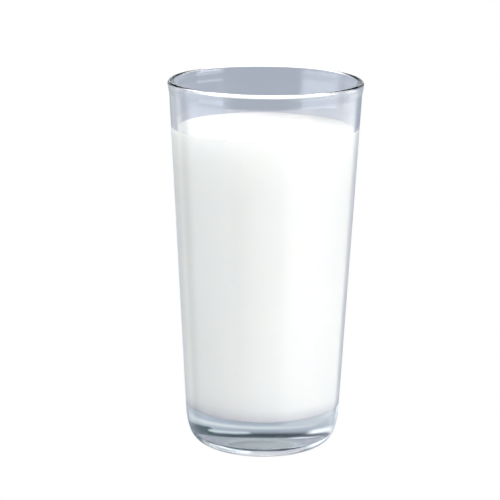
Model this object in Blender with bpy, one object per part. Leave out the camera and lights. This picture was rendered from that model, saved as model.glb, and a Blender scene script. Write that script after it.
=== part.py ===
"""A clear, tapered drinking glass filled with milk almost to its rim, standing on Z = 0.

Both pieces are turned round the Z axis. A profile is a list of (radius, height) points in metres.
"""

import math

import bmesh
import bpy

# The glass, in metres
HEIGHT = 0.140
RIM_RADIUS = 0.0366  # at the widest point of the rim's bead
RIM_PROUD = 0.0004  # how far the bead stands out from the wall
RIM_FALL = 0.0045  # the height over which the bead fades into the wall
WALL = 0.0021
HEEL_HEIGHT = 0.0145  # where the straight wall ends and the heel starts to round in
HEEL_RADIUS = 0.0293  # of the wall's outside at that height
HEEL_ROUND = 0.028  # the gentle upper round of the heel
FOOT_ROUND = 0.0081  # the tighter round below it, down to the ring that the glass stands on
FOOT_RING_WIDTH = 0.0045
PUNT_DEPTH = 0.0012  # the shallow hollow under the base
FLOOR = 0.0145  # top of the thick base, which the milk stands on
CORNER_ROUND = 0.0065

# The milk, in metres
MILK_LEVEL = 0.1216
MENISCUS_RISE = 0.0009
MENISCUS_WIDTH = 0.0035
GAP = 0.0003  # between the milk and the glass

# Fineness of the turned meshes
SEGMENTS = 72
ROUND_STEPS = 6
FOOT_STEPS = 10
SHARP_ANGLE = math.radians(35)
WELD = 1e-6

# The straight wall leans out by this angle
TAPER = math.atan2(RIM_RADIUS - RIM_PROUD - HEEL_RADIUS, HEIGHT - HEEL_HEIGHT)


def wall_radius(height, inset=0.0):
    """Radius of the straight outer wall, or of the wall surface this far inside it."""
    return HEEL_RADIUS + (height - HEEL_HEIGHT) * math.tan(TAPER) - inset / math.cos(TAPER)


def arc(centre, radius, start, end, steps=ROUND_STEPS):
    """Points of a circular arc, with its angles measured from straight outwards, upwards positive."""
    angles = [start + (end - start) * i / steps for i in range(steps + 1)]
    return [(centre[0] + radius * math.cos(a), centre[1] + radius * math.sin(a)) for a in angles]


def inside(inset):
    """The hollow's floor and rounded corner from the axis outwards, this far inside the glass."""
    radius = CORNER_ROUND - inset
    height = FLOOR + CORNER_ROUND
    centre = (wall_radius(height, WALL + CORNER_ROUND), height)
    return [(0.0, FLOOR + inset), *arc(centre, radius, -math.pi / 2, -TAPER)]


def rim():
    """The fire-polished bead: half round on top, fading into the outer wall below."""
    half = (WALL + RIM_PROUD) / 2
    height = HEIGHT - half
    points = arc((RIM_RADIUS - half, height), half, math.pi, 0.0, 2 * ROUND_STEPS)
    for i in range(1, ROUND_STEPS + 1):
        done = i / ROUND_STEPS
        z = height - RIM_FALL * done
        points.append((wall_radius(z) + RIM_PROUD * (1 + math.cos(math.pi * done)) / 2, z))
    return points


def heel():
    """The heel's gentle round and the tighter round under it, from the wall down to the flat ring."""
    centre = (wall_radius(HEEL_HEIGHT, HEEL_ROUND), HEEL_HEIGHT)
    reach = HEEL_ROUND - FOOT_ROUND
    turn = -math.asin((centre[1] - FOOT_ROUND) / reach)
    foot = (centre[0] + reach * math.cos(turn), FOOT_ROUND)
    return [
        *arc(centre, HEEL_ROUND, -TAPER, turn),
        *arc(foot, FOOT_ROUND, turn, -math.pi / 2, FOOT_STEPS)[1:],
    ]


def punt(ring_radius):
    """The hollow under the base, a shallow dome from the ring's inner edge to the axis."""
    sphere = (ring_radius**2 + PUNT_DEPTH**2) / (2 * PUNT_DEPTH)
    radii = [ring_radius * (1 - i / ROUND_STEPS) for i in range(ROUND_STEPS + 1)]
    return [(r, PUNT_DEPTH - sphere + math.sqrt(sphere**2 - r**2)) for r in radii]


def glass_profile():
    foot = heel()
    return [*inside(0.0), *rim(), *foot, *punt(foot[-1][0] - FOOT_RING_WIDTH)]


def milk_profile():
    """The milk's level top, the meniscus that climbs the wall, its side and its bottom."""
    edge = wall_radius(MILK_LEVEL + MENISCUS_RISE, WALL + GAP)
    points = [(0.0, MILK_LEVEL)]
    for i in range(ROUND_STEPS + 1):
        climb = i / ROUND_STEPS
        points.append((edge - MENISCUS_WIDTH * (1 - climb), MILK_LEVEL + MENISCUS_RISE * climb**2))
    return [*points, *reversed(inside(GAP))]


def make_material(name, colour, roughness, transmission=0.0, ior=1.5):
    material = bpy.data.materials.new(name)
    material.use_nodes = True
    shader = material.node_tree.nodes["Principled BSDF"]
    shader.inputs["Base Color"].default_value = (*colour, 1.0)
    shader.inputs["Roughness"].default_value = roughness
    shader.inputs["Metallic"].default_value = 0.0
    shader.inputs["Transmission Weight"].default_value = transmission
    shader.inputs["IOR"].default_value = ior
    return material


def turned(name, profile, material, parent):
    """A closed solid, made by spinning a profile that starts and ends on the Z axis."""
    shape = bmesh.new()
    points = [shape.verts.new((r, 0.0, z)) for r, z in profile]
    edges = [shape.edges.new(pair) for pair in zip(points, points[1:])]
    bmesh.ops.spin(
        shape,
        geom=points + edges,
        axis=(0.0, 0.0, 1.0),
        cent=(0.0, 0.0, 0.0),
        steps=SEGMENTS,
        angle=2 * math.pi,
        use_merge=True,
    )
    bmesh.ops.remove_doubles(shape, verts=shape.verts, dist=WELD)
    bmesh.ops.recalc_face_normals(shape, faces=shape.faces)
    mesh = bpy.data.meshes.new(name)
    shape.to_mesh(mesh)
    shape.free()
    mesh.shade_smooth()
    mesh.set_sharp_from_angle(angle=SHARP_ANGLE)
    mesh.materials.append(material)
    piece = bpy.data.objects.new(name, mesh)
    bpy.context.scene.collection.objects.link(piece)
    piece.parent = parent
    return piece


def main():
    for leftover in list(bpy.data.objects):
        bpy.data.objects.remove(leftover, do_unlink=True)

    whole = bpy.data.objects.new("glass_of_milk", None)
    bpy.context.scene.collection.objects.link(whole)

    clear_glass = make_material("clear_glass", (0.90, 0.95, 0.96), 0.02, transmission=1.0, ior=1.52)
    milk_white = make_material("milk_white", (0.93, 0.93, 0.90), 0.25, ior=1.35)
    turned("glass", glass_profile(), clear_glass, whole)
    turned("milk", milk_profile(), milk_white, whole)


main()
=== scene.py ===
"""The looks of a clear, tapered drinking glass filled with milk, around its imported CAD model.

Both pieces are turned round the Z axis, from profiles of (radius, height) points in metres. Azimuths are
in degrees from the side that faces the camera (-Y), positive to the right (+X), and elevations are up.
"""

import math

import bmesh
import bpy
from mathutils import Matrix, Vector


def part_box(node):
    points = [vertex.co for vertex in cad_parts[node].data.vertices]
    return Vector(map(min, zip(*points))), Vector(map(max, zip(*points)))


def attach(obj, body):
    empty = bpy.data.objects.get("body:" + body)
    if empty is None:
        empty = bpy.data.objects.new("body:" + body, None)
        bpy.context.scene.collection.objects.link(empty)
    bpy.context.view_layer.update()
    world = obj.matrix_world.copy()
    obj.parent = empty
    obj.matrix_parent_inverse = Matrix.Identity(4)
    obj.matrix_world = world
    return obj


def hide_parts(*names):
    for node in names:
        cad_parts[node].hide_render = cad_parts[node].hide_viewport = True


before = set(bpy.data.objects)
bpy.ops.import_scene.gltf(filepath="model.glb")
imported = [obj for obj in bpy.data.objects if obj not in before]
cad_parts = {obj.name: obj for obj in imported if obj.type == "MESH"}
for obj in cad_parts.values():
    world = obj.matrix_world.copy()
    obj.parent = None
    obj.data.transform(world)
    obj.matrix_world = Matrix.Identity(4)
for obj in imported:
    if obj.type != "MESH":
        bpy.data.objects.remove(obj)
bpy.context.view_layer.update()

# The glass, in metres, as the CAD model has it
RIM_PROUD = 0.0004  # how far the rim's bead stands out from the wall
RIM_FALL = 0.0045  # the height over which the bead fades into the wall
WALL = 0.0021
HEEL_HEIGHT = 0.0145  # where the straight wall ends and the heel starts to round in
HEEL_RADIUS = 0.0293  # of the wall's outside at that height
HEEL_ROUND = 0.028  # the gentle upper round of the heel
FOOT_ROUND = 0.0081  # the tighter round below it, down to the ring that the glass stands on
FOOT_RING_WIDTH = 0.0045
PUNT_DEPTH = 0.0012  # the shallow hollow under the base
CORNER_ROUND = 0.0065

# The milk, which reaches just into the glass's wall so that no air shows between them
MENISCUS_RISE = 0.0009
MENISCUS_WIDTH = 0.0035
GAP = 0.0003  # between the CAD model's milk and its glass
INTO_GLASS = 0.0002

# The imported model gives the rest
_, GLASS_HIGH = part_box("glass")
MILK_LOW, MILK_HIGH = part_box("milk")
HEIGHT = GLASS_HIGH[2]
RIM_RADIUS = GLASS_HIGH[0]
FLOOR = MILK_LOW[2] - GAP
MILK_LEVEL = MILK_HIGH[2] - MENISCUS_RISE

# The straight wall leans out by this angle
TAPER = math.atan2(RIM_RADIUS - RIM_PROUD - HEEL_RADIUS, HEIGHT - HEEL_HEIGHT)

# Fineness of the turned meshes
SEGMENTS = 384
ROUND_STEPS = 16
SIDE_STEPS = 24
SHARP_ANGLE = math.radians(40)
WELD = 1e-7

# The looks of the glass, whose faces are barely wavy
GLASS_IOR = 1.5
GLASS_TINT = (0.73, 0.93, 0.94)
GLASS_DENSITY = 6.0  # how strongly its body takes on the tint
WAVE_SCALE = 55.0
WAVE_DETAIL = 1.0
WAVE_STRENGTH = 0.05
WAVE_DEPTH = 0.001

# The looks of the milk
MILK_COLOURS = ((0.965, 0.960, 0.945), (0.985, 0.982, 0.970))
CREAM_SCALE = 60.0  # of the faint mottling between the two colours
CREAM_DETAIL = 2.0
MILK_IOR = 1.35
MILK_ROUGHNESS = 0.25
SCATTER_RADIUS = (1.0, 0.97, 0.90)
SCATTER_SCALE = 0.010

# The photograph's camera: a long lens that looks down on the glass, leaning slightly to one side
CAMERA_DISTANCE = 0.8788
CAMERA_PITCH = math.radians(13.23)
CAMERA_ROLL = math.radians(-0.556)
CAMERA_LENS = 167.2  # mm
CAMERA_SENSOR = 36.0  # mm across
CAMERA_NEAREST = 0.01
AIM_HEIGHT = 0.07495
AIM_SIDE = 0.00528  # how far left of the glass's axis the camera aims

# The backdrop and the floor, as the camera sees them
WHITE = (1.0, 1.0, 1.0)
FLOOR_SIZE = 4.0

# Limits of a patch of the surroundings that leave it open on that side, in degrees
ALL_ROUND = 180.0
STRAIGHT_UP = 90.0
LEAST_LEVEL = 1e-4  # the least level length that a direction counts as, so that nothing is divided by 0

# What the glass shows of the studio. Each patch is laid over the ones before it, and given by its
# azimuth, half width, low edge, high edge, edge softness and colour
AROUND = (0.42, 0.46, 0.54)
STUDIO = (
    # A dark band all round above, and what lies behind the glass
    (0.0, ALL_ROUND, 29.0, 46.0, 5.0, (0.0, 0.0, 0.0)),
    (161.0, 52.0, 1.5, 5.0, 5.5, (0.95, 0.98, 0.98)),
    (184.0, 66.0, 19.0, 50.0, 2.7, (0.0, 0.015, 0.03)),
    (190.0, 18.0, 15.0, 50.0, 5.0, (0.0, 0.015, 0.03)),
    (121.0, 26.0, 9.5, 31.0, 2.0, (0.0, 0.045, 0.05)),
    (158.0, 15.0, 13.0, 16.5, 1.7, (0.7, 0.76, 0.8)),
    # To the left
    (-123.0, 25.0, 15.0, 16.0, 6.0, (3.25, 3.25, 3.2)),
    (-77.0, 29.0, -20.0, 12.0, 12.0, (2.6, 2.7, 3.0)),
    (-139.0, 12.0, -24.0, -4.0, 5.0, (0.85, 0.87, 0.92)),
    # To the right
    (72.0, 23.0, 0.5, 12.5, 1.5, (3.1, 3.3, 3.9)),
    (85.0, 54.0, -20.0, -15.0, 12.0, (4.3, 4.3, 4.2)),
    # On the camera's side
    (5.0, 54.0, -17.5, -14.3, 1.7, (2.7, 2.5, 2.5)),
    (4.0, 51.0, -5.0, 29.0, 3.7, (0.10, 0.11, 0.13)),
    # The surface that the glass stands on, which its thick base bends into view
    (180.0, 100.0, -STRAIGHT_UP, -36.0, 14.0, (0.9, 0.9, 0.95)),
    (-35.0, 65.0, -STRAIGHT_UP, -27.0, 5.6, (0.3, 0.4, 0.4)),
    (150.0, 62.0, -STRAIGHT_UP, -52.0, 5.0, (4.5, 4.5, 4.6)),
    (-85.0, 35.0, -66.0, -52.0, 4.0, (5.0, 5.0, 5.0)),
    (-143.0, 20.0, -50.0, -37.0, 3.0, (2.8, 2.8, 2.9)),
    (0.0, ALL_ROUND, -STRAIGHT_UP, -70.0, 6.0, (6.0, 6.0, 6.2)),
    # Lights above to the right and the left, and a grey one low on the left
    (84.0, 20.0, 25.0, 38.0, 4.0, (9.0, 9.0, 9.5)),
    (-136.0, 22.0, 30.0, 53.0, 6.0, (2.8, 2.8, 3.35)),
    (-154.0, 15.0, -19.5, 4.3, 4.0, (0.56, 0.59, 0.65)),
)

# What the outside of the glass mirrors of the floor in front of it, laid over the rest
MIRRORED_FLOOR = (0.0, 95.0, -75.0, -46.0, 4.0, (0.85, 0.87, 0.92))

# What lights the milk: soft light from all round, with dimmer patches given as above
MILK_LIGHT = (0.53, 0.56, 0.50)
MILK_SHADE = (
    (0.0, ALL_ROUND, -STRAIGHT_UP, -16.0, 20.0, (0.26, 0.275, 0.31)),
    (150.0, 60.0, -STRAIGHT_UP, 30.0, 25.0, (0.27, 0.275, 0.33)),
    (182.0, 45.0, -40.0, 30.0, 20.0, (0.30, 0.27, 0.42)),
    (0.0, ALL_ROUND, -STRAIGHT_UP, -45.0, 15.0, (0.14, 0.11, 0.32)),
)

# Lamps on the milk, given by their azimuth, elevation, narrowness and colour, and a light from above,
# which starts and is full where a direction's upward share has these values
LAMPS = (
    (28.0, 5.0, 6.0, (5.2, 5.2, 5.15)),
    (-122.0, 10.0, 5.0, (3.0, 3.1, 2.9)),
)
TOP_LIGHT = (0.78, 0.78, 0.79)
TOP_LIGHT_RISE = (0.3, 0.9)


def wall_radius(height, inset=0.0):
    """Radius of the straight outer wall, or of the wall surface this far inside it."""
    return HEEL_RADIUS + (height - HEEL_HEIGHT) * math.tan(TAPER) - inset / math.cos(TAPER)


def arc(centre, radius, start, end, steps=ROUND_STEPS):
    """Points of a circular arc, with its angles measured from straight outwards, upwards positive."""
    angles = [start + (end - start) * i / steps for i in range(steps + 1)]
    return [(centre[0] + radius * math.cos(a), centre[1] + radius * math.sin(a)) for a in angles]


def inside(inset):
    """The hollow's floor and rounded corner from the axis outwards, this far inside the glass."""
    radius = CORNER_ROUND - inset
    height = FLOOR + CORNER_ROUND
    centre = (wall_radius(height, WALL + CORNER_ROUND), height)
    return [(0.0, FLOOR + inset), *arc(centre, radius, -math.pi / 2, -TAPER)]


def rim():
    """The fire-polished bead: half round on top, fading into the outer wall below."""
    half = (WALL + RIM_PROUD) / 2
    height = HEIGHT - half
    points = arc((RIM_RADIUS - half, height), half, math.pi, 0.0, 2 * ROUND_STEPS)
    for i in range(1, ROUND_STEPS + 1):
        done = i / ROUND_STEPS
        z = height - RIM_FALL * done
        points.append((wall_radius(z) + RIM_PROUD * (1 + math.cos(math.pi * done)) / 2, z))
    return points


def heel():
    """The heel's gentle round and the tighter round under it, from the wall down to the flat ring."""
    centre = (wall_radius(HEEL_HEIGHT, HEEL_ROUND), HEEL_HEIGHT)
    reach = HEEL_ROUND - FOOT_ROUND
    turn = -math.asin((centre[1] - FOOT_ROUND) / reach)
    foot = (centre[0] + reach * math.cos(turn), FOOT_ROUND)
    return [
        *arc(centre, HEEL_ROUND, -TAPER, turn),
        *arc(foot, FOOT_ROUND, turn, -math.pi / 2, 2 * ROUND_STEPS)[1:],
    ]


def punt(ring_radius):
    """The hollow under the base, a shallow dome from the ring's inner edge to the axis."""
    sphere = (ring_radius**2 + PUNT_DEPTH**2) / (2 * PUNT_DEPTH)
    radii = [ring_radius * (1 - i / SIDE_STEPS) for i in range(SIDE_STEPS + 1)]
    return [(r, PUNT_DEPTH - sphere + math.sqrt(sphere**2 - r**2)) for r in radii]


def glass_profile():
    """The hollow, the rim, the heel and the underside."""
    foot = heel()
    return [*inside(0.0), *rim(), *foot, *punt(foot[-1][0] - FOOT_RING_WIDTH)]


def milk_profile():
    """The milk's level top, the meniscus that climbs the wall, its side and its bottom."""
    top = MILK_LEVEL + MENISCUS_RISE
    edge = wall_radius(top, WALL - INTO_GLASS)
    points = [(0.0, MILK_LEVEL)]
    for i in range(ROUND_STEPS + 1):
        climb = i / ROUND_STEPS
        points.append((edge - MENISCUS_WIDTH * (1 - climb), MILK_LEVEL + MENISCUS_RISE * climb**2))
    bottom = inside(-INTO_GLASS)
    for i in range(1, SIDE_STEPS):
        z = top + (bottom[-1][1] - top) * i / SIDE_STEPS
        points.append((wall_radius(z, WALL - INTO_GLASS), z))
    return [*points, *reversed(bottom)]


def turned(name, profile, material):
    """A closed surface, made by spinning a profile that starts and ends on the Z axis."""
    shape = bmesh.new()
    points = [shape.verts.new((r, 0.0, z)) for r, z in profile]
    edges = [shape.edges.new(pair) for pair in zip(points, points[1:])]
    bmesh.ops.spin(
        shape,
        geom=points + edges,
        axis=(0.0, 0.0, 1.0),
        cent=(0.0, 0.0, 0.0),
        steps=SEGMENTS,
        angle=2 * math.pi,
        use_merge=True,
    )
    bmesh.ops.remove_doubles(shape, verts=shape.verts, dist=WELD)
    bmesh.ops.recalc_face_normals(shape, faces=shape.faces)
    mesh = bpy.data.meshes.new(name)
    shape.to_mesh(mesh)
    shape.free()
    mesh.shade_smooth()
    mesh.set_sharp_from_angle(angle=SHARP_ANGLE)
    mesh.materials.append(material)
    piece = bpy.data.objects.new(name, mesh)
    bpy.context.scene.collection.objects.link(piece)
    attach(piece, "root")
    return piece


def opaque(colour):
    return (*colour, 1.0)


class Nodes:
    """A short way to make shader nodes: every call takes sockets or plain values, and returns a socket."""

    def __init__(self, tree):
        self.tree = tree

    def join(self, inputs, slot, value):
        """Gives an input a socket to follow or a plain value."""
        if isinstance(value, bpy.types.NodeSocket):
            self.tree.links.new(value, inputs[slot])
        else:
            inputs[slot].default_value = value

    def make(self, kind, inputs=(), output=0, **settings):
        """One output of a new node with these inputs and settings."""
        node = self.tree.nodes.new(kind)
        for key, value in settings.items():
            setattr(node, key, value)
        for slot, value in dict(inputs).items():
            self.join(node.inputs, slot, value)
        return node.outputs[output]

    def math(self, operation, *values):
        return self.make("ShaderNodeMath", enumerate(values), operation=operation)

    def dot(self, one, other):
        """The sum of two pairs of values multiplied together."""
        return self.math("ADD", *(self.math("MULTIPLY", a, b) for a, b in zip(one, other)))

    def smooth(self, value, low, high):
        """0 below low and 1 above high, with a soft step between."""
        inputs = {"Value": value, "From Min": low, "From Max": high}
        return self.make("ShaderNodeMapRange", inputs, interpolation_type="SMOOTHSTEP")

    def mix(self, share, under, over, **settings):
        """Two colours mixed by a share of 0 to 1."""
        inputs = {0: share, 6: under, 7: over}
        return self.make("ShaderNodeMix", inputs, output=2, data_type="RGBA", **settings)

    def blend(self, share, under, over):
        """One colour laid over another, by a share of 0 to 1."""
        return self.mix(share, under, over)

    def add_light(self, under, share, light):
        """A share of a light added to a colour."""
        return self.mix(share, under, light, blend_type="ADD", clamp_factor=False)

    def white_to_camera(self, white_kind, other_shader, output_kind):
        """Ends the tree with plain white for the camera, and another shader for all other light."""
        camera_ray = self.make("ShaderNodeLightPath", output="Is Camera Ray")
        white = self.make(white_kind, {"Color": opaque(WHITE)})
        shader = self.make("ShaderNodeMixShader", {0: camera_ray, 1: other_shader, 2: white})
        self.tree.links.new(shader, self.tree.nodes.new(output_kind).inputs[0])


def new_material(name):
    material = bpy.data.materials.new(name)
    material.use_nodes = True
    return material, material.node_tree.nodes["Principled BSDF"].inputs, Nodes(material.node_tree)


def clear_glass():
    """Pressed soda-lime glass: clear, with a faint blue-green body and barely wavy faces."""
    material, surface, nodes = new_material("clear_glass")
    surface["Base Color"].default_value = opaque(WHITE)
    surface["Roughness"].default_value = 0.0
    surface["IOR"].default_value = GLASS_IOR
    surface["Transmission Weight"].default_value = 1.0
    place = nodes.make("ShaderNodeTexCoord", output="Object")
    waves = {"Vector": place, "Scale": WAVE_SCALE, "Detail": WAVE_DETAIL}
    height = nodes.make("ShaderNodeTexNoise", waves)
    bump = {"Strength": WAVE_STRENGTH, "Distance": WAVE_DEPTH, "Height": height}
    nodes.join(surface, "Normal", nodes.make("ShaderNodeBump", bump))
    tint = {"Color": opaque(GLASS_TINT), "Density": GLASS_DENSITY}
    body = nodes.make("ShaderNodeVolumeAbsorption", tint)
    nodes.join(material.node_tree.nodes["Material Output"].inputs, "Volume", body)
    return material


def milk_white():
    """Whole milk: near white, a little warm, with a smooth wet surface."""
    material, surface, nodes = new_material("milk_white")
    place = nodes.make("ShaderNodeTexCoord", output="Object")
    mottling = {"Vector": place, "Scale": CREAM_SCALE, "Detail": CREAM_DETAIL}
    cream = nodes.make("ShaderNodeTexNoise", mottling)
    colours = nodes.make("ShaderNodeValToRGB", {0: cream})
    for stop, colour in zip(colours.node.color_ramp.elements, MILK_COLOURS):
        stop.color = opaque(colour)
    nodes.join(surface, "Base Color", colours)
    surface["Roughness"].default_value = MILK_ROUGHNESS
    surface["IOR"].default_value = MILK_IOR
    surface["Subsurface Weight"].default_value = 1.0
    surface["Subsurface Radius"].default_value = SCATTER_RADIUS
    surface["Subsurface Scale"].default_value = SCATTER_SCALE
    return material


def aimed(azimuth, elevation):
    """The direction with this azimuth and elevation, in degrees."""
    around, up = math.radians(azimuth), math.radians(elevation)
    return Vector((math.sin(around) * math.cos(up), -math.cos(around) * math.cos(up), math.sin(up)))


def patch(nodes, direction, azimuth, half_width, low, high, soft):
    """1 inside a soft-edged patch of the surroundings, 0 outside it, all in degrees."""
    *flat, height = direction
    share = 1.0
    if half_width < ALL_ROUND:
        along = nodes.dot(flat, aimed(azimuth, 0.0))
        length = nodes.math("SQRT", nodes.dot(flat, flat))
        off = nodes.math("DIVIDE", along, nodes.math("MAXIMUM", length, LEAST_LEVEL))
        outer = math.cos(math.radians(half_width + soft))
        share = nodes.smooth(off, outer, math.cos(math.radians(max(half_width - soft, 0.0))))
    for edge, side in ((low, 1.0), (high, -1.0)):
        if abs(edge) < STRAIGHT_UP:
            start, end = (math.sin(math.radians(edge + turn * side)) for turn in (-soft, soft))
            share = nodes.math("MULTIPLY", nodes.smooth(height, start, end), share)
    return share


def in_glass(nodes, direction):
    """The colour that the glass mirrors and bends: a grey-blue studio with softboxes."""
    colour = opaque(AROUND)
    for *where, light in STUDIO:
        colour = nodes.blend(patch(nodes, direction, *where), colour, opaque(light))
    *where, light = MIRRORED_FLOOR
    sent_through = nodes.make("ShaderNodeLightPath", output="Is Transmission Ray")
    mirrored = nodes.math("SUBTRACT", 1.0, sent_through)
    share = nodes.math("MULTIPLY", mirrored, patch(nodes, direction, *where))
    return nodes.blend(share, colour, opaque(light))


def on_milk(nodes, place, direction):
    """The light that falls on the milk from each direction."""
    colour = opaque(MILK_LIGHT)
    for *where, light in MILK_SHADE:
        colour = nodes.blend(patch(nodes, direction, *where), colour, opaque(light))
    for azimuth, elevation, narrowness, light in LAMPS:
        ends = {0: place, 1: aimed(azimuth, elevation)}
        towards = nodes.make("ShaderNodeVectorMath", ends, output="Value", operation="DOT_PRODUCT")
        lobe = nodes.math("POWER", nodes.math("MAXIMUM", towards, 0.0), narrowness)
        colour = nodes.add_light(colour, lobe, opaque(light))
    above = nodes.smooth(direction[2], *TOP_LIGHT_RISE)
    return nodes.add_light(colour, above, opaque(TOP_LIGHT))


def surroundings():
    """The studio round the glass: white to the camera, with its own light in the glass and on the milk."""
    world = bpy.data.worlds.new("studio")
    bpy.context.scene.world = world
    world.use_nodes = True
    world.node_tree.nodes.clear()
    nodes = Nodes(world.node_tree)
    place = nodes.make("ShaderNodeTexCoord", output="Generated")
    direction = tuple(nodes.make("ShaderNodeSeparateXYZ", {0: place}).node.outputs)
    scattered = nodes.make("ShaderNodeLightPath", output="Diffuse Depth")
    lit = nodes.math("GREATER_THAN", scattered, 0.5)
    colour = nodes.blend(lit, in_glass(nodes, direction), on_milk(nodes, place, direction))
    light = nodes.make("ShaderNodeBackground", {"Color": colour})
    nodes.white_to_camera("ShaderNodeBackground", light, "ShaderNodeOutputWorld")


def studio_floor():
    """The pale floor that the glass stands on: white to the camera, and clear to all other light."""
    half = FLOOR_SIZE / 2
    corners = [(x * half, y * half, 0.0) for x, y in ((-1, -1), (1, -1), (1, 1), (-1, 1))]
    mesh = bpy.data.meshes.new("studio_floor")
    mesh.from_pydata(corners, [], [(0, 1, 2, 3)])
    material = bpy.data.materials.new("studio_floor")
    material.use_nodes = True
    material.node_tree.nodes.clear()
    nodes = Nodes(material.node_tree)
    clear = nodes.make("ShaderNodeBsdfTransparent")
    nodes.white_to_camera("ShaderNodeEmission", clear, "ShaderNodeOutputMaterial")
    mesh.materials.append(material)
    ground = bpy.data.objects.new("studio_floor", mesh)
    bpy.context.scene.collection.objects.link(ground)


def camera():
    """The photograph's camera, which turns with CAMERA_ROLL about its own line of sight."""
    lens = bpy.data.cameras.new("camera")
    lens.sensor_width = CAMERA_SENSOR
    lens.lens = CAMERA_LENS
    lens.clip_start = CAMERA_NEAREST
    viewer = bpy.data.objects.new("camera", lens)
    bpy.context.scene.collection.objects.link(viewer)
    forward = Vector((0.0, math.cos(CAMERA_PITCH), -math.sin(CAMERA_PITCH)))
    right = Vector((1.0, 0.0, 0.0))
    up = right.cross(forward)
    aim = Vector((-AIM_SIDE, 0.0, AIM_HEIGHT))
    turn = Matrix.Rotation(CAMERA_ROLL, 3, forward)
    place = Matrix((turn @ right, turn @ up, -forward)).transposed().to_4x4()
    place.translation = aim - forward * CAMERA_DISTANCE
    viewer.matrix_world = place
    bpy.context.scene.camera = viewer


bpy.context.scene.view_settings.view_transform = "Standard"
camera()
surroundings()
studio_floor()
glass = turned("glass_surface", glass_profile(), clear_glass())
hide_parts("glass")
milk = turned("milk_body", milk_profile(), milk_white())
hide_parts("milk")
